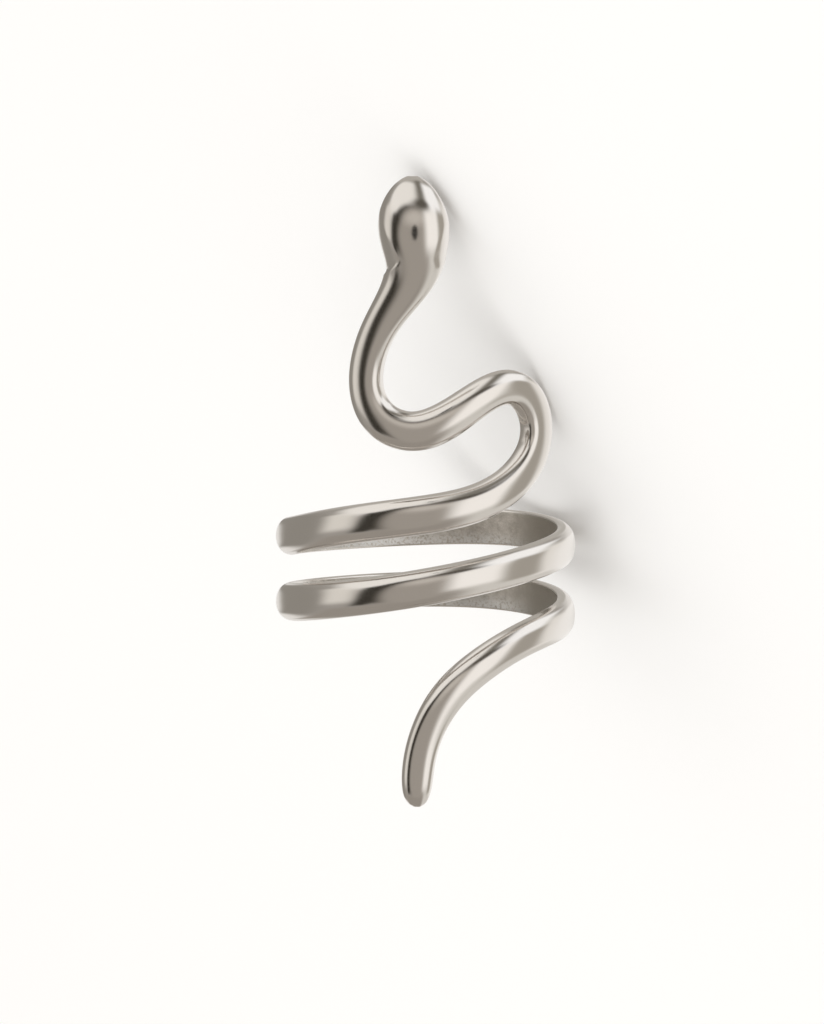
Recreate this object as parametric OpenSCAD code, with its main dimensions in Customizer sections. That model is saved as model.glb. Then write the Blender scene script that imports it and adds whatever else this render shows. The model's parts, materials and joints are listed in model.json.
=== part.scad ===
// Snake wrap ring: one cast and polished band, flat inside and domed outside.
// It winds twice round the finger, swings through two bends up to the head, and trails off in a thin tail.
// Everything lies on the finger's own cylinder, so the band is worked out unrolled and then wrapped round it.
// It is swept a little too deep, and a true cylinder the size of the finger cuts its inner face.

/* [Finger] */
// Width of the hole that the finger goes through, in mm
finger_d = 17; // [15:0.5:21]

/* [Band] */
// Width of the band where it goes round the finger, in mm
band_w = 2.4; // [2:0.1:2.8]
// Thickness of the band where it goes round the finger, in mm
band_t = 1.2; // [1:0.05:1.5]
// Part of the thickness that is a straight side wall, under the dome
side_share = 0.35; // [0.2:0.05:0.5]
// Shape of the dome: 1 is an ellipse, and less is flatter with tighter shoulders
dome_power = 0.85; // [0.6:0.05:1]
// Shape of the flat inner face's edges: less is sharper
inner_power = 0.35; // [0.25:0.05:0.6]

/* [Rest] */
// Angle that the head end dips below level where the ring lies on its side
rest_dip = 29.9; // [0:0.1:60]
// Angle that the ring has rolled round the finger's axis where it lies
rest_roll = -27.2; // [-90:0.1:90]

/* [Detail] */
// Points round one section of the band
section_points = 24; // [12:2:26]
// Sections from one row of the route to the next
steps = 5; // [3:1:5]

/* [Hidden] */

finger_r = finger_d / 2;
// Radius at which the unrolled route keeps its true length: halfway through the band
wrap_r = finger_r + band_t / 2;
// Depth that the swept band reaches inside the finger's skin, before the cylinder cuts it back
sink = 0.09;
// Length of that cylinder, past both ends of the snake
bore_l = 80;

// Columns of the route
TURN = 0; // angle round the finger in degrees: 0 is the front, and positive is to the right
RISE = 1; // height along the finger in mm: the head is up
WIDE = 2; // width as a share of band_w
THICK = 3; // thickness as a share of band_t

// The middle line of the band, from the snout to the tip of the tail
ROUTE = [
    // Head
    [-5.5, 26.35, 0, 0],
    [-5.5, 26, 0.8, 1.1],
    [-5.3, 24.9, 1.5, 1.85],
    [-4.8, 23.3, 1.88, 2.25],
    [-4.3, 21.6, 1.75, 2.15],
    // Neck, down to the left
    [-6.2, 19.95, 1.38, 1.75],
    [-12.2, 18.3, 1.07, 1.4],
    [-19, 16.6, 0.95, 1.25],
    [-23.6, 14.75, 0.92, 1.17],
    [-24.7, 12.75, 0.93, 1.17],
    // Left bend, then up to the right
    [-19.3, 10.9, 1.04, 1.17],
    [-7, 10.07, 1.06, 1.17],
    [5.3, 10.5, 1.07, 1.17],
    [17.3, 11.6, 1.01, 1.17],
    [29, 12.6, 0.97, 1.17],
    // Right bend, then down to the left
    [41.3, 12.65, 0.95, 1.17],
    [50.7, 10.95, 0.96, 1.17],
    [50.3, 8.75, 0.96, 1.17],
    [38.8, 6.75, 1, 1.17],
    [20.7, 5.4, 1.04, 1.17],
    // First turn round the finger
    [0, 4.8, 1.04, 1.12],
    [-30, 4.1, 1.03, 1.08],
    [-60, 3.15, 1.04, 1.04],
    [-90, 2.45, 1.04, 1],
    [-135, 2, 1.02, 1],
    [-180, 2.05, 1, 1],
    [-225, 2.28, 1, 1],
    [-270, 1.9, 1.02, 1],
    [-300, 1.6, 1, 1.04],
    [-330, 0.95, 1, 1.08],
    // Second turn
    [-360, 0.15, 1, 1.08],
    [-390, -0.65, 1, 1.08],
    [-420, -1.3, 1.03, 1.04],
    [-450, -1.8, 1.03, 1],
    [-495, -2.12, 0.98, 1],
    [-540, -2.05, 0.98, 1],
    [-585, -2.1, 1, 1],
    [-630, -2.65, 1.02, 1],
    // Tail, down to the left and then straight down
    [-660, -3.05, 0.98, 1.04],
    [-680, -3.75, 0.97, 1.08],
    [-694.8, -4.85, 0.97, 1.08],
    [-706.4, -6.15, 0.96, 1.08],
    [-714.6, -7.7, 0.94, 1.08],
    [-719.7, -9.3, 0.9, 1.08],
    [-722.5, -10.9, 0.88, 1.08],
    [-723.5, -12.5, 0.84, 1.04],
    [-723.6, -13.6, 0.6, 0.85],
    [-723.7, -14.05, 0, 0]
];

// Past an end the line runs back on itself, while width and thickness turn over: that rounds the end
MIRRORED = [1, 1, -1, -1];

function times(a, b) = [for (i = [0:len(a) - 1]) a[i] * b[i]];

function padded(rows) = concat(
    [times(rows[1], MIRRORED)],
    rows,
    [times(rows[len(rows) - 2], MIRRORED)]
);

// Control rows whose smooth curve passes through the rows given
function control_rows(rows) =
    let (p = padded(rows))
    [for (i = [1:len(p) - 2]) p[i] + (p[i] - (p[i - 1] + p[i + 1]) / 2) / 3];

// Weights of four control rows at t, from 0 to 1, along a smooth curve, and the weights of its slope
function curve_weights(t) = [
    pow(1 - t, 3) / 6,
    (3 * pow(t, 3) - 6 * pow(t, 2) + 4) / 6,
    (-3 * pow(t, 3) + 3 * pow(t, 2) + 3 * t + 1) / 6,
    pow(t, 3) / 6
];
function slope_weights(t) = [
    -pow(1 - t, 2) / 2,
    (3 * pow(t, 2) - 4 * t) / 2,
    (-3 * pow(t, 2) + 2 * t + 1) / 2,
    pow(t, 2) / 2
];

function four_rows(rows, first) = [for (i = [0:3]) rows[first + i]];

// Signed power, which makes a rounded rectangle of a circle
function bent(v, power) = sign(v) * pow(abs(v), power);

// Unit section: [across, out], with across from -1 to 1 and out from 0 at its foot to 1 on the dome
function section_point(angle) =
    sin(angle) >= 0
        ? [
            bent(cos(angle), dome_power),
            side_share + (1 - side_share) * pow(sin(angle), dome_power)
        ]
        : [
            bent(cos(angle), inner_power),
            side_share - side_share * pow(-sin(angle), inner_power)
        ];

section = [for (j = [0:section_points - 1]) section_point(360 * j / section_points)];

// Puts an unrolled place [along the finger's round, height] at a distance from the finger's skin
function wrapped(along, rise, out) =
    let (angle = along / wrap_r * 180 / PI)
    [(finger_r + out) * sin(angle), -(finger_r + out) * cos(angle), rise];

function along_of(row) = row[TURN] * PI / 180 * wrap_r;
function across_dir(slope) =
    let (d = [along_of(slope), slope[RISE]])
    [-d[1], d[0]] / norm(d);

// One section of the band, square to its middle line
function ring_of(row, slope) =
    let (side = across_dir(slope) * row[WIDE] * band_w / 2)
    [for (s = section)
        wrapped(
            along_of(row) + side[0] * s[0],
            row[RISE] + side[1] * s[0],
            (row[THICK] * band_t + sink) * s[1] - sink
        )];

// Turns the ring from the way it is worn, with the finger upright, to the way it lies on its side
function rolled(p) = [
    p[0] * cos(rest_roll) - p[1] * sin(rest_roll),
    p[0] * sin(rest_roll) + p[1] * cos(rest_roll),
    p[2]
];
function laid(p) =
    let (q = rolled(p))
    [
        q[2] * cos(rest_dip) - q[0] * sin(rest_dip),
        q[1],
        -q[2] * sin(rest_dip) - q[0] * cos(rest_dip)
    ];

controls = padded(control_rows(ROUTE));
spans = len(ROUTE) - 1;

rings = [
    for (i = [0:spans - 1])
        for (k = [0:steps - 1])
            if (i + k > 0)
                let (four = four_rows(controls, i))
                ring_of(curve_weights(k / steps) * four, slope_weights(k / steps) * four)
];

function end_point(row) = wrapped(along_of(row), row[RISE], -sink);

laid_points = [
    for (p = concat([end_point(ROUTE[0])], [for (r = rings) each r], [end_point(ROUTE[spans])]))
        laid(p)
];

function low(axis) = min([for (p = laid_points) p[axis]]);
function high(axis) = max([for (p = laid_points) p[axis]]);

// The origin is under the middle of the ring, on the surface that it lies on
origin = [(low(0) + high(0)) / 2, (low(1) + high(1)) / 2, low(2)];
points = [for (p = laid_points) p - origin];

function at(ring, j) = 1 + ring * section_points + j % section_points;

// Two triangles for four corners, parted along the shorter diagonal
function two_faces(a, b, c, d) =
    norm(points[a] - points[c]) <= norm(points[b] - points[d])
        ? [[a, b, c], [a, c, d]]
        : [[a, b, d], [b, c, d]];

last_ring = len(rings) - 1;
tail_tip = len(points) - 1;

faces = concat(
    [for (j = [0:section_points - 1]) [0, at(0, j), at(0, j + 1)]],
    [
        for (r = [0:last_ring - 1])
            for (j = [0:section_points - 1])
                each two_faces(at(r, j), at(r + 1, j), at(r + 1, j + 1), at(r, j + 1))
    ],
    [for (j = [0:section_points - 1]) [tail_tip, at(last_ring, j + 1), at(last_ring, j)]]
);

// The finger's cylinder, where the ring lies
module finger_bore() {
    translate(-origin)
        rotate([0, 90 + rest_dip, 0])
            cylinder(h = bore_l, r = finger_r, center = true, $fn = 180);
}

module snake_band() {
    color("silver") difference() {
        polyhedron(points = points, faces = faces, convexity = 10);
        finger_bore();
    }
}

snake_band();
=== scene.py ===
"""Snake wrap ring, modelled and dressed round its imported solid.

The ring is one cast and polished silver band: flat and satin where it lies on the finger, domed and
polished outside. It is modelled flat, along its unrolled route, and then bent round the finger.
Lengths in the classes are millimetres, and the scene is in metres.
"""

import json
import logging
import math
from dataclasses import dataclass, field
from enum import Enum
from typing import NamedTuple

import bpy
from mathutils import Euler, Matrix, Vector

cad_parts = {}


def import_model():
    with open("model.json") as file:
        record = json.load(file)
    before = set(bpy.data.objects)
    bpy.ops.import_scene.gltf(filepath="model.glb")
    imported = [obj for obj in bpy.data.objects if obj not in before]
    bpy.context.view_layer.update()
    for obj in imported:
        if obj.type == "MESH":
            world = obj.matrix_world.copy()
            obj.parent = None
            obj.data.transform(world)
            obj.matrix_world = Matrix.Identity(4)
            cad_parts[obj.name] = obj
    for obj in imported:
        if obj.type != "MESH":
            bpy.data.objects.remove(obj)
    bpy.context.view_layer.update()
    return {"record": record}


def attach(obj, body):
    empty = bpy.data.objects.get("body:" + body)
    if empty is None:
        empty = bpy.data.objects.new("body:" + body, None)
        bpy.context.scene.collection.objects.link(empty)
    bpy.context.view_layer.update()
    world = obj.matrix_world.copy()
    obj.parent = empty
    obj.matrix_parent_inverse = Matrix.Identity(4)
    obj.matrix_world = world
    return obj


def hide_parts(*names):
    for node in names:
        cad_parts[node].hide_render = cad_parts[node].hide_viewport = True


log = logging.getLogger("snake_ring")

MM = 0.001


# Small helpers


def linear(hex_colour: str) -> tuple[float, float, float, float]:
    """Turns an sRGB hex colour to a linear one.

    Args:
        hex_colour: The colour, as in "#8a847b".

    Returns:
        Linear red, green and blue, and an alpha of 1.
    """
    channels = []
    for start in (1, 3, 5):
        value = int(hex_colour[start : start + 2], 16) / 255
        channels.append(value / 12.92 if value <= 0.04045 else ((value + 0.055) / 1.055) ** 2.4)
    return (*channels, 1.0)


def add_node(
    tree: bpy.types.NodeTree,
    kind: str,
    settings: dict | None = None,
    links: dict | None = None,
) -> bpy.types.Node:
    """Adds one node to a tree.

    Args:
        tree: The node tree.
        kind: Blender's name for the node.
        settings: Values: the node's own by a name in small letters, and an input's by its name or number.
        links: Output sockets by the name or number of the input that each goes to.

    Returns:
        The new node.
    """
    new = tree.nodes.new(kind)
    named = {socket.name: socket for socket in new.inputs}
    for name, value in (settings or {}).items():
        if isinstance(name, str) and name.islower():
            setattr(new, name, value)
    for name, value in (settings or {}).items():
        if isinstance(name, int):
            new.inputs[name].default_value = value
        elif not name.islower():
            named[name].default_value = value
    for name, output in (links or {}).items():
        tree.links.new(output, new.inputs[name])
    return new


def deselect_all() -> None:
    """Leaves nothing selected, in object mode."""
    if bpy.context.object and bpy.context.object.mode != "OBJECT":
        bpy.ops.object.mode_set(mode="OBJECT")
    bpy.ops.object.select_all(action="DESELECT")


# The snake


class Row(NamedTuple):
    """One row of the route: where the band's middle line is, and how wide and thick it is there."""

    turn: float  # degrees round the finger: 0 is the front, and positive is to the right
    rise: float  # millimetres along the finger: the head is up
    wide: float  # share of the band's width
    thick: float  # share of the band's thickness
    round: float = 0  # 0 is the dome of the turns, 1 is rounder, like a tube, and below 0 is flatter
    crest: float = 0  # how far the crest is to the left of the middle, as a share of half the width

    def mirrored(self) -> "Row":
        """The row past an end, which rounds the end off."""
        return self._replace(wide=-self.wide, thick=-self.thick)


def blend_rows(rows: list[Row], weights: tuple[float, ...]) -> Row:
    """Sum of rows, each times its weight.

    Args:
        rows: The rows.
        weights: One weight for each row.

    Returns:
        The sum.
    """
    return Row(*(sum(w * value for w, value in zip(weights, column)) for column in zip(*rows)))


HEAD_AND_NECK = [
    Row(-5.5, 26.35, 0, 0),
    Row(-5.5, 26, 0.8, 1.1),
    Row(-5.3, 24.9, 1.5, 1.85),
    Row(-4.8, 23.3, 1.88, 2.25),
    Row(-4.3, 21.6, 1.75, 2.15),
    Row(-6.2, 19.95, 1.38, 1.75, -0.3),
    Row(-12.2, 18.3, 1.07, 1.4, -0.5),
    Row(-19, 16.6, 0.95, 1.25, -0.5),
    Row(-23.6, 14.75, 0.92, 1.17, -0.5),
    Row(-24.7, 12.75, 0.93, 1.17, -0.3),
]
BENDS = [
    Row(-19.3, 10.9, 1.04, 1.17),
    Row(-7, 10.07, 1.06, 1.17, 0.2),
    Row(5.3, 10.5, 1.07, 1.17, 0.5),
    Row(17.3, 11.6, 1.01, 1.17, 0.8),
    Row(29, 12.6, 0.97, 1.17, 0.7, 0),
    Row(41.3, 12.65, 0.95, 1.17, 0, -0.05),
    Row(50.7, 10.95, 0.96, 1.17, -0.7, -0.12),
    Row(50.3, 8.75, 0.96, 1.17, -0.7, -0.12),
    Row(38.8, 6.75, 1, 1.17, 0, -0.05),
    Row(20.7, 5.4, 1.04, 1.17, 0.3),
]
TURNS = [
    Row(0, 4.8, 1.04, 1.12),
    Row(-30, 4.1, 1.03, 1.08),
    Row(-60, 3.15, 1.04, 1.04, 0.4),
    Row(-90, 2.45, 1.04, 1, 0.9),
    Row(-135, 2, 1.02, 1, 0.4),
    Row(-180, 2.05, 1, 1),
    Row(-225, 2.28, 1, 1),
    Row(-270, 1.9, 1.02, 1),
    Row(-300, 1.6, 1, 1.04),
    Row(-330, 0.95, 1, 1.08),
    Row(-360, 0.15, 1, 1.08),
    Row(-390, -0.65, 1, 1.08),
    Row(-420, -1.3, 1.03, 1.04, 0.4),
    Row(-450, -1.8, 1.03, 1, 0.9),
    Row(-495, -2.12, 0.98, 1, 0.4),
    Row(-540, -2.05, 0.98, 1),
    Row(-585, -2.1, 1, 1),
    Row(-630, -2.65, 1.02, 1),
]
TAIL = [
    Row(-660, -3.05, 0.98, 1.04, 0.3),
    Row(-680, -3.75, 0.97, 1.08, 0.7),
    Row(-694.8, -4.85, 0.97, 1.08, 0.8),
    Row(-706.4, -6.15, 0.96, 1.08, 0.5),
    Row(-714.6, -7.7, 0.94, 1.08, 0.1),
    Row(-719.7, -9.3, 0.9, 1.08, -0.3),
    Row(-722.5, -10.9, 0.88, 1.08, -0.4),
    Row(-723.5, -12.5, 0.84, 1.04, -0.3),
    Row(-723.6, -13.6, 0.6, 0.85, 0),
    Row(-723.7, -14.05, 0, 0),
]


# Weights of a row and its neighbours that make the smooth curve pass through the row
THROUGH_ROWS = (-1 / 6, 4 / 3, -1 / 6)


class Station(NamedTuple):
    """One section of the flat band: its foot on the skin, its heading and its size, in metres."""

    place: Vector
    heading: float
    width: float
    height: float
    round: float
    crest: float


Place = tuple[float, float]  # along and rise on the flat band, in millimetres


def beyond(start: Place, end: Place, place: Place) -> float:
    """Distance of a place from a line, positive to the left of its direction.

    Args:
        start: A point of the line.
        end: A later point of the line.
        place: The place.

    Returns:
        The distance, in the places' unit.
    """
    run, climb = end[0] - start[0], end[1] - start[1]
    return (run * (place[1] - start[1]) - climb * (place[0] - start[0])) / math.hypot(run, climb)


def smooth_step(value: float, low: float, high: float) -> float:
    """A smooth step up.

    Args:
        value: What the step depends on.
        low: Where the step starts.
        high: Where the step ends.

    Returns:
        0 below low, 1 above high and a smooth step between.
    """
    share = min(max((value - low) / (high - low), 0), 1)
    return share * share * (3 - 2 * share)


@dataclass(frozen=True)
class JawFold:
    """A shallow facet at a corner of the jaw, which falls away from a crease to the fold of the neck."""

    crease: tuple[Place, Place]  # a line whose left side falls away
    fold: tuple[Place, Place]  # a line whose left side the facet is on
    slope: float  # how steeply it falls away from the crease, against the dome
    wall: float  # width of the wall that climbs back to the neck, in millimetres
    reach: float = 9.0  # distance from the crease's start where it has faded out, in millimetres

    def depth(self, place: Place) -> float:
        """How far the facet lies under the dome.

        Args:
            place: Where on the flat band.

        Returns:
            The depth, in millimetres.
        """
        fall = beyond(*self.crease, place)
        if fall <= 0:
            return 0
        near = 1 - smooth_step(math.dist(place, self.crease[0]), self.reach / 2, self.reach)
        return self.slope * fall * near * smooth_step(beyond(*self.fold, place), 0, self.wall)


@dataclass
class SnakeBand:
    """The whole snake: one band from the snout to the tip of the tail."""

    route: list[Row]
    finger_r: float = 8.5
    band_w: float = 2.4
    band_t: float = 1.2
    polished_off: float = 0.015  # what polishing takes off the dome
    side_share: float = 0.24  # part of the thickness that is a straight side wall
    dome_power: float = 0.82  # 1 is an ellipse, and less is flatter with tighter shoulders
    round_change: float = 0.15  # how far a roundness of 1 raises the power and lowers the share
    section_points: int = 24
    steps: int = 3  # sections from one row of the route to the next
    smooth_levels: int = 2
    jaw_folds: tuple[JawFold, ...] = (
        JawFold(
            crease=((-1.48, 21.3), (-2.7, 24.1)),
            fold=((-2.62, 19.97), (-1.68, 20.75)),
            slope=0.42,
            wall=0.18,
        ),
        JawFold(
            crease=((0.75, 22.3), (0.3, 21)),
            fold=((0.2, 20.7), (1.6, 20)),
            slope=0.45,
            wall=0.5,
            reach=1.7,
        ),
    )
    jaw_from: Place = (-4.0, 19.0)  # left and bottom of the part that the folds can change
    jaw_depth: tuple[float, float] = (0.2, 1.2)  # height over the skin where a fold starts, and is whole
    skin_margin: float = 0.01  # a face this close to the finger's skin is on it, in millimetres
    # Inner face from edge to middle: across and out, as shares of the half width and the thickness
    inner_face: list[tuple[float, float]] = field(
        default_factory=lambda: [(0.99, 0.2), (0.965, 0.08), (0.9, 0), (0.72, 0), (0.4, 0), (0, 0)]
    )

    @property
    def wrap_r(self) -> float:
        """Radius at which the unrolled route keeps its true length: halfway through the band."""
        return self.finger_r + self.band_t / 2

    def control_rows(self) -> list[Row]:
        """Rows whose smooth curve passes through the route, with one past each end."""
        rows = [self.route[1].mirrored(), *self.route, self.route[-2].mirrored()]
        inner = [blend_rows(rows[i - 1 : i + 2], THROUGH_ROWS) for i in range(1, len(rows) - 1)]
        return [inner[1].mirrored(), *inner, inner[-2].mirrored()]

    def stations(self) -> list[Station]:
        """Sections along the smooth curve, without the two tips."""
        controls = self.control_rows()
        found = []
        for span in range(len(self.route) - 1):
            for step in range(self.steps):
                if span + step == 0:
                    continue
                t = step / self.steps
                weights = (
                    (1 - t) ** 3 / 6,
                    (3 * t**3 - 6 * t**2 + 4) / 6,
                    (-3 * t**3 + 3 * t**2 + 3 * t + 1) / 6,
                    t**3 / 6,
                )
                slopes = (
                    -((1 - t) ** 2) / 2,
                    (3 * t**2 - 4 * t) / 2,
                    (-3 * t**2 + 2 * t + 1) / 2,
                    t**2 / 2,
                )
                row = blend_rows(controls[span : span + 4], weights)
                slope = blend_rows(controls[span : span + 4], slopes)
                along = math.radians(row.turn) * self.wrap_r
                found.append(
                    Station(
                        place=Vector((along, self.band_t / 2, row.rise)) * MM,
                        heading=math.atan2(slope.rise, math.radians(slope.turn) * self.wrap_r),
                        width=row.wide * self.band_w * MM,
                        height=(row.thick * self.band_t - self.polished_off) * MM,
                        round=row.round,
                        crest=row.crest,
                    )
                )
        return found

    def section(self, roundness: float = 0, crest: float = 0) -> list[tuple[float, float]]:
        """The unit section, once round from its right edge: across from -1 to 1, and out from 0 to 1.

        Args:
            roundness: 0 for the dome of the turns, 1 for a rounder one, below 0 for a flatter one.
            crest: How far the crest is to the left of the middle, as a share of half the width.

        Returns:
            The section's points.
        """
        quarter = self.section_points // 4
        side = self.side_share - self.round_change * roundness
        power = self.dome_power + self.round_change * roundness
        dome = []
        for i in range(2 * quarter + 1):
            angle = math.pi * i / (2 * quarter)
            across = math.copysign(abs(math.cos(angle)) ** power, math.cos(angle))
            across += crest * (1 - across**2)
            dome.append((across, side + (1 - side) * math.sin(angle) ** power))
        left = [(-across, out) for across, out in self.inner_face]
        right = list(reversed(self.inner_face[:-1]))
        return dome + left + right

    def first_section(self, station: Station) -> bpy.types.Object:
        """Adds a circle and shapes it to the first section, heading along X.

        Args:
            station: Where the section is, and its size.

        Returns:
            The new object.
        """
        deselect_all()
        bpy.ops.mesh.primitive_circle_add(
            vertices=self.section_points,
            radius=station.width / 2,
            fill_type="NOTHING",
        )
        band = bpy.context.object
        for vertex, (across, out) in zip(band.data.vertices, self.section()):
            offset = Vector((0, -out * station.height, across * station.width / 2))
            vertex.co = station.place + offset
        return band

    def sweep(self, stations: list[Station]) -> None:
        """Extrudes the section from station to station, in edit mode.

        Args:
            stations: All the stations. The section starts at the first, heading along X.
        """
        bpy.ops.mesh.select_all(action="SELECT")
        turn_about(stations[0].place, stations[0].heading)
        for last, new in zip(stations, stations[1:]):
            bpy.ops.mesh.extrude_region_move()
            turn_about(last.place, -last.heading)
            bpy.ops.transform.resize(
                value=(1, new.height / last.height, new.width / last.width),
                center_override=last.place,
            )
            turn_about(last.place, new.heading)
            bpy.ops.transform.translate(value=new.place - last.place)

    def round_dome(self, band: bpy.types.Object, stations: list[Station]) -> None:
        """Moves the points of each section from the dome of the turns to the section's own dome.

        Args:
            band: The swept band, its vertices in the order of its sections.
            stations: All the stations.
        """
        plain = self.section()
        for number, station in enumerate(stations):
            side = Vector((-math.sin(station.heading), 0, math.cos(station.heading)))
            for point, (across, out) in enumerate(self.section(station.round, station.crest)):
                shift = side * (across - plain[point][0]) * station.width / 2
                shift.y -= (out - plain[point][1]) * station.height
                band.data.vertices[number * self.section_points + point].co += shift

    def close_ends(self) -> None:
        """Fills the open loop at each end with a small grid of faces, in edit mode."""
        bpy.ops.mesh.select_all(action="DESELECT")
        bpy.ops.mesh.select_non_manifold(
            extend=False,
            use_wire=False,
            use_boundary=True,
            use_multi_face=False,
            use_non_contiguous=False,
            use_verts=False,
        )
        rims = [v.index for v in selected_vertices()]
        half = len(rims) // 2
        for rim in (rims[:half], rims[half:]):
            select_vertices(rim)
            bpy.ops.mesh.fill_grid(span=self.section_points // 4, offset=0)

    def build(self) -> bpy.types.Object:
        """Models the band flat, smooths it and bends it round the finger.

        Returns:
            The band, with the finger's axis along Z and its front towards -Y.
        """
        stations = self.stations()
        band = self.first_section(stations[0])
        bpy.ops.object.mode_set(mode="EDIT")
        self.sweep(stations)
        self.close_ends()
        bpy.ops.mesh.select_all(action="SELECT")
        bpy.ops.mesh.normals_make_consistent(inside=False)
        bpy.ops.object.mode_set(mode="OBJECT")
        self.round_dome(band, stations)
        self.mark_inner_face(band)
        self.smooth(band)
        self.press_jaw(band)
        self.bend(band)
        return band

    def mark_inner_face(self, band: bpy.types.Object) -> None:
        """Gives the faces that lie on the finger the second material slot.

        Args:
            band: The flat band.
        """
        skin = (self.band_t / 2 - self.skin_margin) * MM
        for face in band.data.polygons:
            on_skin = all(band.data.vertices[v].co.y > skin for v in face.vertices)
            face.material_index = int(on_skin)

    def smooth(self, band: bpy.types.Object) -> None:
        """Rounds the flat band with a subdivision surface.

        Args:
            band: The flat band.
        """
        rounding = band.modifiers.new("rounding", "SUBSURF")
        rounding.levels = rounding.render_levels = self.smooth_levels
        bpy.ops.object.modifier_apply(modifier=rounding.name)
        bpy.ops.object.shade_smooth()

    def press_jaw(self, band: bpy.types.Object) -> None:
        """Presses the facets of the jaw into the smooth flat band.

        Args:
            band: The flat band.
        """
        for vertex in band.data.vertices:
            place = (vertex.co.x / MM, vertex.co.z / MM)
            if place[0] < self.jaw_from[0] or place[1] < self.jaw_from[1]:
                continue
            out = self.band_t / 2 - vertex.co.y / MM
            depth = sum(fold.depth(place) for fold in self.jaw_folds)
            vertex.co.y += depth * smooth_step(out, *self.jaw_depth) * MM

    def bend(self, band: bpy.types.Object) -> None:
        """Bends the flat band round the finger.

        Args:
            band: The flat band, along X, with its inner face towards +Y.
        """
        along = [v.co.x for v in band.data.vertices]
        wrap = band.modifiers.new("wrap", "SIMPLE_DEFORM")
        wrap.deform_method = "BEND"
        wrap.deform_axis = "Z"
        wrap.angle = (max(along) - min(along)) / (self.wrap_r * MM)
        bpy.ops.object.modifier_apply(modifier=wrap.name)
        band.location.y = -self.wrap_r * MM
        bpy.ops.object.transform_apply(location=True, rotation=False, scale=False)


def turn_about(place: Vector, angle: float) -> None:
    """Turns what is selected in the flat plane, from X towards Z.

    Args:
        place: The point that it turns about.
        angle: The angle, in radians.
    """
    bpy.ops.transform.rotate(value=angle, orient_axis="Y", center_override=place)


def selected_vertices() -> list[bpy.types.MeshVertex]:
    """The selected vertices of the mesh in edit mode."""
    band = bpy.context.object
    band.update_from_editmode()
    return [v for v in band.data.vertices if v.select]


def select_vertices(indices: list[int]) -> None:
    """Selects these vertices, and the edges between them, in edit mode.

    Args:
        indices: The vertices' numbers.
    """
    band = bpy.context.object
    bpy.ops.mesh.select_all(action="DESELECT")
    bpy.ops.object.mode_set(mode="OBJECT")
    for index in indices:
        band.data.vertices[index].select = True
    bpy.ops.object.mode_set(mode="EDIT")
    bpy.ops.mesh.select_mode(type="VERT")


# Finishes


@dataclass(frozen=True)
class PolishedSilver:
    """Sterling silver, cast, then polished on a soft wheel: bright reflections with slightly soft edges.

    To the eye it is the room: broad white, grey and near-black bands that follow the dome, hardly warmer
    than grey, with edges that blur a little and waver where the wheel pressed harder.
    """

    name: str = "polished_cast_silver"
    colour: str = "#ece8e4"
    roughness: float = 0.14
    roughness_spread: float = 0.05
    waviness_mm: float = 2.2  # the wheel leaves the dome very slightly uneven
    scratch_mm: float = 0.12  # fine polishing lines, drawn as coarse as they need to show
    bump: float = 0.03
    wave_depth: float = 0.1  # depth of the waves, as a share of their length

    def material(self) -> bpy.types.Material:
        """The material, with its nodes."""
        made = bpy.data.materials.new(self.name)
        made.use_nodes = True
        tree = made.node_tree
        shader = tree.nodes["Principled BSDF"]
        shader.inputs["Base Color"].default_value = linear(self.colour)
        shader.inputs["Metallic"].default_value = 1.0
        place = add_node(tree, "ShaderNodeTexCoord").outputs["Object"]
        clouds = add_node(
            tree,
            "ShaderNodeTexNoise",
            {"Scale": 1 / (self.waviness_mm * MM), "Detail": 1.0},
            {"Vector": place},
        )
        lines = add_node(
            tree,
            "ShaderNodeTexNoise",
            {"Scale": 1 / (self.scratch_mm * MM), "Detail": 3.0},
            {"Vector": place},
        )
        spread = add_node(
            tree,
            "ShaderNodeMapRange",
            {3: self.roughness - self.roughness_spread / 2, 4: self.roughness + self.roughness_spread},
            {"Value": lines.outputs["Fac"]},
        )
        tree.links.new(spread.outputs["Result"], shader.inputs["Roughness"])
        wave = add_node(
            tree,
            "ShaderNodeBump",
            {"Strength": self.bump, "Distance": self.waviness_mm * MM * self.wave_depth},
            {"Height": clouds.outputs["Fac"]},
        )
        tree.links.new(wave.outputs["Normal"], shader.inputs["Normal"])
        return made


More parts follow.
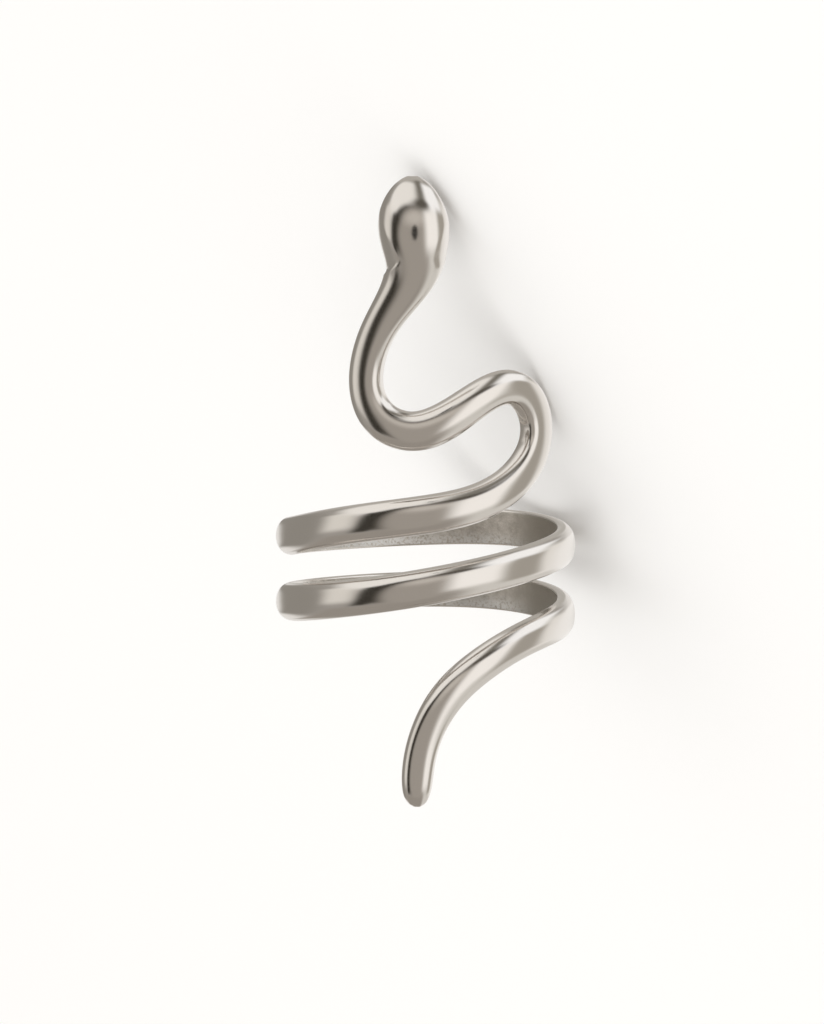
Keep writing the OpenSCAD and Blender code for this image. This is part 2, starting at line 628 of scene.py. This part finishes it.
@dataclass(frozen=True)
class SatinSilver:
    """The same silver as cast inside the ring, only tumbled: a fine grain that scatters the light.

    To the eye it is a soft grey without a picture in it, cloudy and a little sandy, with a painted
    highlight along the worn lower edge of each turn and painted shade that makes it darker at the right.
    """

    name: str = "satin_cast_silver"
    dull_colour: str = "#ccc7c0"
    bright_colour: str = "#ebe6e0"
    cloud_mm: float = 0.6  # patches that the tumbling left duller
    grain_mm: float = 0.16  # the real grain is under 0.05 mm: drawn coarser, so that it shows
    grain_depth_mm: float = 0.04
    roughness: float = 0.24
    roughness_spread: float = 0.16
    worn_highlight_colour: str = "#ffffff"  # painted highlight on the worn lower edge of each turn, which rubs on the finger
    worn_lit_edge_from_mm: float = 0.95  # height of the first turn's lower edge at the back
    worn_lit_edge_mm: float = 1.2
    turn_mm: float = 4.15  # from turn to turn at the back
    painted_shade_colour: str = "#bbb6ae"  # painted shade: the right of the inside is made darker
    painted_shade_mm: tuple[float, float] = (4.6, 7.6)  # to the right of the coil's middle: start, and full
    clouds: tuple[float, float] = (0.35, 0.65)  # part of the noise that goes from dull to bright
    speckle: tuple[float, float] = (0.35, 0.5)  # part of the noise that breaks the worn edge up

    def material(self) -> bpy.types.Material:
        """The material, with its nodes."""
        made = bpy.data.materials.new(self.name)
        made.use_nodes = True
        tree = made.node_tree
        shader = tree.nodes["Principled BSDF"]
        shader.inputs["Metallic"].default_value = 1.0
        place = add_node(tree, "ShaderNodeTexCoord").outputs["Object"]
        clouds = add_node(
            tree,
            "ShaderNodeTexNoise",
            {"Scale": 1 / (self.cloud_mm * MM), "Detail": 3.0, "Roughness": 0.65},
            {"Vector": place},
        )
        grain = add_node(
            tree,
            "ShaderNodeTexNoise",
            {"Scale": 1 / (self.grain_mm * MM), "Detail": 3.0, "Roughness": 0.7},
            {"Vector": place},
        )
        patch = add_node(
            tree,
            "ShaderNodeMapRange",
            {1: self.clouds[0], 2: self.clouds[1]},
            {"Value": clouds.outputs["Fac"]},
        )
        colour = add_node(
            tree,
            "ShaderNodeMix",
            {"data_type": "RGBA", 6: linear(self.dull_colour), 7: linear(self.bright_colour)},
            {0: patch.outputs[0]},
        )
        rough = add_node(
            tree,
            "ShaderNodeMapRange",
            {3: self.roughness, 4: self.roughness + self.roughness_spread},
            {"Value": grain.outputs["Fac"]},
        )
        bump = add_node(
            tree,
            "ShaderNodeBump",
            {"Strength": 1.0, "Distance": self.grain_depth_mm * MM},
            {"Height": grain.outputs["Fac"]},
        )
        tree.links.new(colour.outputs[2], shader.inputs["Base Color"])
        tree.links.new(rough.outputs[0], shader.inputs["Roughness"])
        tree.links.new(bump.outputs["Normal"], shader.inputs["Normal"])
        return made

    def add_worn_highlight_and_shade(self, made: bpy.types.Material, turn: Matrix, centre: Vector) -> None:
        """Adds a painted highlight on the worn lower edge of the turns and painted shade at their right.

        Args:
            made: The material, as material() made it.
            turn: The rotation of the ring from the way it is worn to the way it lies.
            centre: The middle of the finger's hole at the coil.
        """
        tree = made.node_tree
        base = tree.nodes["Principled BSDF"].inputs["Base Color"]
        place = add_node(tree, "ShaderNodeTexCoord").outputs["Object"]
        up, right = turn @ Vector((0, 0, 1)), turn @ Vector((1, 0, 0))
        rise = add_node(
            tree,
            "ShaderNodeVectorMath",
            {"operation": "DOT_PRODUCT", 1: up},
            {0: place},
        )
        start = up.dot(centre) + self.worn_lit_edge_from_mm * MM
        turns = add_node(
            tree,
            "ShaderNodeMapRange",
            {"clamp": False, 1: start, 2: start + self.turn_mm * MM},
            {0: rise.outputs["Value"]},
        )
        share = add_node(tree, "ShaderNodeMath", {"operation": "FRACT"}, {0: turns.outputs[0]})
        edge = add_node(
            tree,
            "ShaderNodeMapRange",
            {"interpolation_type": "SMOOTHSTEP", 1: 0.0, 2: self.worn_lit_edge_mm / self.turn_mm, 3: 1.0, 4: 0.0},
            {0: share.outputs[0]},
        )
        grain = add_node(
            tree,
            "ShaderNodeTexNoise",
            {"Scale": 1 / (self.grain_mm * MM), "Detail": 3.0},
            {"Vector": place},
        )
        speckle = add_node(
            tree,
            "ShaderNodeMapRange",
            {1: self.speckle[0], 2: self.speckle[1]},
            {0: grain.outputs["Fac"]},
        )
        # Painted highlight: the worn lower edge of each turn, made paler and broken up by the grain.
        worn_edge_highlight = add_node(
            tree,
            "ShaderNodeMath",
            {"operation": "MULTIPLY"},
            {0: edge.outputs[0], 1: speckle.outputs[0]},
        )
        across = add_node(
            tree,
            "ShaderNodeVectorMath",
            {"operation": "DOT_PRODUCT", 1: right},
            {0: place},
        )
        near, far = (right.dot(centre) + mm * MM for mm in self.painted_shade_mm)
        # Painted shade: the inside is made darker towards the right.
        painted_shade = add_node(
            tree,
            "ShaderNodeMapRange",
            {"interpolation_type": "SMOOTHSTEP", 1: near, 2: far},
            {0: across.outputs["Value"]},
        )
        colour = base.links[0].from_socket
        # Mixes the painted highlight and the painted shade into the satin colour.
        for layer, mask in ((self.worn_highlight_colour, worn_edge_highlight), (self.painted_shade_colour, painted_shade)):
            mix = add_node(
                tree,
                "ShaderNodeMix",
                {"data_type": "RGBA", 7: linear(layer)},
                {0: mask.outputs[0], 6: colour},
            )
            colour = mix.outputs[2]
        tree.links.new(colour, base)


# The studio


@dataclass(frozen=True)
class Pose:
    """How the ring lies on its side, against the way it is worn, with the finger along Z."""

    dip: float = 29.9  # degrees that the head end is below level
    roll: float = -27.2  # degrees that it has rolled round the finger's axis

    def turn(self) -> Matrix:
        """The rotation."""
        laid = Euler((0, math.radians(90 + self.dip), 0)).to_matrix()
        return laid @ Euler((0, 0, math.radians(self.roll))).to_matrix()


@dataclass(frozen=True)
class View:
    """The photograph's view of the ring, from the front and a little above."""

    elevation: float = 6.6  # degrees above the plane that the finger is square to
    distance_mm: float = 500
    pixels_per_mm: float = 15.44
    centre_px: tuple[float, float] = (425.5, 573.5)
    frame_px: tuple[int, int] = (824, 1024)
    sensor_mm: float = 36
    clip: tuple[float, float] = (0.01, 100)  # in metres

    def axes(self, turn: Matrix) -> tuple[Vector, Vector, Vector]:
        """The picture's right and up and the way back to the camera, where the ring lies.

        Args:
            turn: The rotation of the ring from the way it is worn to the way it lies.

        Returns:
            The three directions.
        """
        e = math.radians(self.elevation)
        right = Vector((1, 0, 0))
        back = Vector((0, -math.cos(e), math.sin(e)))
        up = Vector((0, math.sin(e), math.cos(e)))
        return turn @ right, turn @ up, turn @ back

    def camera(self, turn: Matrix, centre: Vector) -> bpy.types.Object:
        """Adds the camera.

        Args:
            turn: The rotation of the ring from the way it is worn to the way it lies.
            centre: The middle of the finger's hole at the coil.

        Returns:
            The camera.
        """
        right, up, back = self.axes(turn)
        width, height = self.frame_px
        data = bpy.data.cameras.new("camera")
        data.sensor_fit = "VERTICAL"
        data.sensor_height = data.sensor_width = self.sensor_mm
        data.lens = self.pixels_per_mm * self.distance_mm * self.sensor_mm / height
        data.shift_x = (width / 2 - self.centre_px[0]) / height
        data.shift_y = (self.centre_px[1] - height / 2) / height
        data.clip_start, data.clip_end = self.clip
        camera = bpy.data.objects.new("camera", data)
        bpy.context.scene.collection.objects.link(camera)
        facing = Matrix((right, up, back)).transposed().to_4x4()
        camera.matrix_world = Matrix.Translation(centre + back * self.distance_mm * MM) @ facing
        bpy.context.scene.camera = camera
        return camera


@dataclass(frozen=True)
class Panel:
    """A soft box, card or flag, as seen from the ring, in degrees from the camera's direction."""

    name: str
    right: float
    up: float
    half_w: float
    half_h: float
    soft: float  # half the width of its blurred edge
    colour: str
    gain: float = 1.0  # how much brighter it shines than its colour
    lean: float = 0.0  # degrees that its top leans to the left

    def light(self) -> tuple[float, float, float, float]:
        """The panel's colour, as bright as it shines."""
        red, green, blue, _ = linear(self.colour)
        return (red * self.gain, green * self.gain, blue * self.gain, 1.0)

    def own_place(self, tree: bpy.types.NodeTree, place: bpy.types.NodeSocket) -> bpy.types.NodeSocket:
        """The place as the panel sees it: degrees from its middle, both made positive.

        Args:
            tree: The world's node tree.
            place: Degrees right and up from the camera's direction.

        Returns:
            The panel's own place.
        """
        own = add_node(
            tree,
            "ShaderNodeMapping",
            {
                "vector_type": "TEXTURE",
                "Location": (self.right, self.up, 0),
                "Rotation": (0, 0, math.radians(self.lean)),
            },
            {"Vector": place},
        )
        size = add_node(
            tree,
            "ShaderNodeVectorMath",
            {"operation": "ABSOLUTE"},
            {0: own.outputs[0]},
        )
        return size.outputs[0]

    def fade(
        self, tree: bpy.types.NodeTree, value: bpy.types.NodeSocket, edge: float, soft: float
    ) -> bpy.types.NodeSocket:
        """A smooth step from 1 inside an edge to 0 outside it.

        Args:
            tree: The world's node tree.
            value: What is compared with the edge.
            edge: Where the step is halfway.
            soft: Half the width of the step.

        Returns:
            The step.
        """
        step = add_node(
            tree,
            "ShaderNodeMapRange",
            {"interpolation_type": "SMOOTHSTEP", 1: edge - soft, 2: edge + soft, 3: 1.0, 4: 0.0},
            {0: value},
        )
        return step.outputs[0]

    def mask(self, tree: bpy.types.NodeTree, place: bpy.types.NodeSocket) -> bpy.types.NodeSocket:
        """1 where the panel is and 0 elsewhere.

        Args:
            tree: The world's node tree.
            place: Degrees right and up from the camera's direction.

        Returns:
            The mask.
        """
        split = add_node(tree, "ShaderNodeSeparateXYZ", {}, {0: self.own_place(tree, place)})
        across = self.fade(tree, split.outputs[0], self.half_w, self.soft)
        along = self.fade(tree, split.outputs[1], self.half_h, self.soft)
        both = add_node(
            tree,
            "ShaderNodeMath",
            {"operation": "MULTIPLY"},
            {0: across, 1: along},
        )
        return both.outputs[0]


@dataclass(frozen=True)
class OvalPanel(Panel):
    """A panel with an oval outline."""

    def mask(self, tree: bpy.types.NodeTree, place: bpy.types.NodeSocket) -> bpy.types.NodeSocket:
        """1 where the panel is and 0 elsewhere.

        Args:
            tree: The world's node tree.
            place: Degrees right and up from the camera's direction.

        Returns:
            The mask.
        """
        unit = add_node(
            tree,
            "ShaderNodeVectorMath",
            {"operation": "DIVIDE", 1: (self.half_w, self.half_h, 1)},
            {0: self.own_place(tree, place)},
        )
        radius = add_node(
            tree,
            "ShaderNodeVectorMath",
            {"operation": "LENGTH"},
            {0: unit.outputs[0]},
        )
        soft = self.soft / min(self.half_w, self.half_h)
        return self.fade(tree, radius.outputs["Value"], 1.0, soft)


# Later panels stand in front of earlier ones
PANELS = [
    Panel("white sweep behind", 0, 0, 400, 400, 1, "#ebe8e4"),
    OvalPanel("room", -10, 14, 138, 140, 14, "#a29e98"),
    Panel("left wall", -118, 30, 30, 110, 14, "#928e87"),
    Panel("right wall", 85, -25, 60, 100, 14, "#d8d5cf"),
    Panel("far right card", 110, 0, 13, 60, 9, "#f0ede8"),
    Panel("far right wall", 137, -25, 19, 110, 10, "#fbf9f6"),
    Panel("left soft box", -72, 12, 14, 34, 9, "#e2ded7"),
    Panel("ceiling behind", -10, 138, 60, 28, 12, "#b8b4ad"),
    OvalPanel("upper left soft box", -28, 60, 44, 50, 9, "#f5f2ed"),
    Panel("gap between the soft boxes", 15, 74, 13, 42, 9, "#7c7870"),
    Panel("right soft box", 58, 64, 30, 38, 12, "#ffffff", gain=1.06),
    OvalPanel("dark arch", -14, -5, 37, 41, 5, "#2f2a22"),
    Panel("front card", -2, -98, 38, 58, 16, "#9a948c"),
    Panel("lower left card", -40, -90, 40, 46, 9, "#9a948c"),
    Panel("left flag", -46, -8, 8, 32, 5, "#2c2820", lean=-6),
    OvalPanel("front card's round top", -2, -14, 33, 43, 7, "#a29c94"),
    OvalPanel("light on the card's top", -4, 15, 17, 12, 9, "#c6c0b8"),
    Panel("right strip light", 39, 0, 22, 30, 9, "#fcf9f5", gain=1.05, lean=4),
    Panel("right wall's shade", 82, -4, 18, 42, 9, "#aaa59c", lean=4),
    OvalPanel("right flag", 14, 38, 21, 9, 5, "#57524b"),
]


@dataclass(frozen=True)
class Flag:
    """A small black oval hung close in front of the head, which mirrors it as its one dark spot."""

    # Right, up and back from the coil's middle
    place_mm: tuple[float, float, float] = (-1.2, 20.3, 21.7)
    width_mm: float = 1.8
    height_mm: float = 4.2
    colour: str = "#1a1815"


def matt(name: str, colour: str) -> bpy.types.Material:
    """A plain matt material for what stands round the ring.

    Args:
        name: The material's name.
        colour: Its colour.

    Returns:
        The material.
    """
    made = bpy.data.materials.new(name)
    made.use_nodes = True
    shader = made.node_tree.nodes["Principled BSDF"]
    shader.inputs["Base Color"].default_value = linear(colour)
    shader.inputs["Roughness"].default_value = 0.9
    shader.inputs["Specular IOR Level"].default_value = 0.1
    return made


@dataclass
class Studio:
    """A light tent for the metal to reflect, a plain pale surround and floor, and one soft light."""

    panels: list[Panel]
    floor_size: float = 6.0  # in metres
    floor_colour: str = "#f8f7f5"
    surround_colour: str = "#fbfaf9"
    head_flag: Flag = Flag()
    flag_points: int = 48
    lamp_size: float = 0.8  # in metres
    lamp_watts: float = 1.6
    lamp_place: tuple[float, float, float] = (-0.3, -0.3, 0.9)  # in metres

    def tent(self, axes: tuple[Vector, Vector, Vector]) -> None:
        """Makes the world: the panels, round the camera's direction, and a plain surround behind.

        Args:
            axes: Right, up and back, where the ring lies.
        """
        world = bpy.data.worlds.new("studio")
        bpy.context.scene.world = world
        world.use_nodes = True
        tree = world.node_tree
        background = tree.nodes["Background"]
        ray = add_node(tree, "ShaderNodeTexCoord").outputs["Generated"]
        parts = []
        for axis in axes:
            part = add_node(
                tree,
                "ShaderNodeVectorMath",
                {"operation": "DOT_PRODUCT", 1: axis},
                {0: ray},
            )
            parts.append(part.outputs["Value"])
        flat = add_node(tree, "ShaderNodeCombineXYZ", {}, {0: parts[0], 1: parts[1]})
        unit = add_node(
            tree,
            "ShaderNodeVectorMath",
            {"operation": "NORMALIZE"},
            {0: flat.outputs[0]},
        )
        angle = add_node(tree, "ShaderNodeMath", {"operation": "ARCCOSINE"}, {0: parts[2]})
        degrees = add_node(
            tree,
            "ShaderNodeMath",
            {"operation": "DEGREES"},
            {0: angle.outputs[0]},
        )
        place = add_node(
            tree,
            "ShaderNodeVectorMath",
            {"operation": "SCALE"},
            {0: unit.outputs[0], "Scale": degrees.outputs[0]},
        ).outputs[0]
        colour = add_node(tree, "ShaderNodeRGB").outputs[0]
        for panel in self.panels:
            mix = add_node(
                tree,
                "ShaderNodeMix",
                {"data_type": "RGBA", 7: panel.light()},
                {0: panel.mask(tree, place), 6: colour},
            )
            colour = mix.outputs[2]
        mirrored = add_node(tree, "ShaderNodeLightPath").outputs["Is Glossy Ray"]
        shown = add_node(
            tree,
            "ShaderNodeMix",
            {"data_type": "RGBA", 6: linear(self.surround_colour)},
            {0: mirrored, 7: colour},
        )
        tree.links.new(shown.outputs[2], background.inputs["Color"])

    def floor(self) -> bpy.types.Object:
        """Adds the pale floor. The metal reflects the tent alone, so the floor doesn't show in it."""
        deselect_all()
        bpy.ops.mesh.primitive_plane_add(size=self.floor_size, location=(0, 0, 0))
        floor = bpy.context.object
        floor.name = "floor"
        floor.data.materials.append(matt("matt_paper", self.floor_colour))
        floor.visible_glossy = False
        return floor

    def flag(self, axes: tuple[Vector, Vector, Vector], centre: Vector) -> bpy.types.Object:
        """Hangs the small flag, which only the metal sees.

        Args:
            axes: Right, up and back, where the ring lies.
            centre: The middle of the finger's hole at the coil.

        Returns:
            The flag.
        """
        deselect_all()
        bpy.ops.mesh.primitive_circle_add(
            vertices=self.flag_points,
            radius=MM / 2,
            fill_type="NGON",
        )
        flag = bpy.context.object
        flag.name = "flag"
        flag.data.materials.append(matt("black_velvet", self.head_flag.colour))
        place = centre.copy()
        for axis, shift in zip(axes, self.head_flag.place_mm):
            place += axis * shift * MM
        size = Matrix.Diagonal((self.head_flag.width_mm, self.head_flag.height_mm, 1, 1))
        facing = Matrix(axes).transposed().to_4x4()
        flag.matrix_world = Matrix.Translation(place) @ facing @ size
        flag.visible_camera = flag.visible_diffuse = flag.visible_shadow = False
        return flag

    def light(self) -> bpy.types.Object:
        """Adds one large soft light above, for the floor."""
        data = bpy.data.lights.new("soft_light", "AREA")
        data.shape = "DISK"
        data.size = self.lamp_size
        data.energy = self.lamp_watts
        lamp = bpy.data.objects.new("soft_light", data)
        lamp.location = self.lamp_place
        lamp.rotation_euler = (-lamp.location).to_track_quat("-Z", "Y").to_euler()
        lamp.visible_glossy = False
        bpy.context.scene.collection.objects.link(lamp)
        return lamp


class Finish(Enum):
    """The two finishes of the band, in the order of its material slots."""

    POLISHED = PolishedSilver()
    SATIN = SatinSilver()


def lay(band: bpy.types.Object, turn: Matrix, centre: Vector) -> None:
    """Lays the finished band where the CAD ring lies, with its place in its mesh.

    Args:
        band: The band, with the finger along Z.
        turn: The rotation from the way it is worn to the way it lies.
        centre: The middle of the finger's hole at the coil.
    """
    band.matrix_world = Matrix.Translation(centre) @ turn.to_4x4()
    deselect_all()
    band.select_set(True)
    bpy.context.view_layer.objects.active = band
    bpy.ops.object.transform_apply(location=True, rotation=True, scale=True)


def main() -> None:
    """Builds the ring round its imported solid, then the studio."""
    logging.basicConfig(level=logging.INFO, format="%(message)s")
    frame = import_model()
    centre = Vector(frame["record"]["mounts"][0]["pos_m"])
    turn = Pose().turn()

    band = SnakeBand([*HEAD_AND_NECK, *BENDS, *TURNS, *TAIL]).build()
    band.name = band.data.name = "snake"
    for finish in Finish:
        band.data.materials.append(finish.value.material())
    # Paints a highlight on the worn lower edges and shade at the right of the inside.
    Finish.SATIN.value.add_worn_highlight_and_shade(band.data.materials[1], turn, centre)
    lay(band, turn, centre)
    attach(band, "root")
    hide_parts("snake_band")
    log.info("%s: %d faces", band.name, len(band.data.polygons))

    view = View()
    view.camera(turn, centre)
    studio = Studio(PANELS)
    studio.tent(view.axes(turn))
    studio.floor()
    studio.flag(view.axes(turn), centre)
    studio.light()
    bpy.context.scene.view_settings.view_transform = "Standard"
    log.info("studio: %d panels", len(studio.panels))


if __name__ == "__main__":
    main()
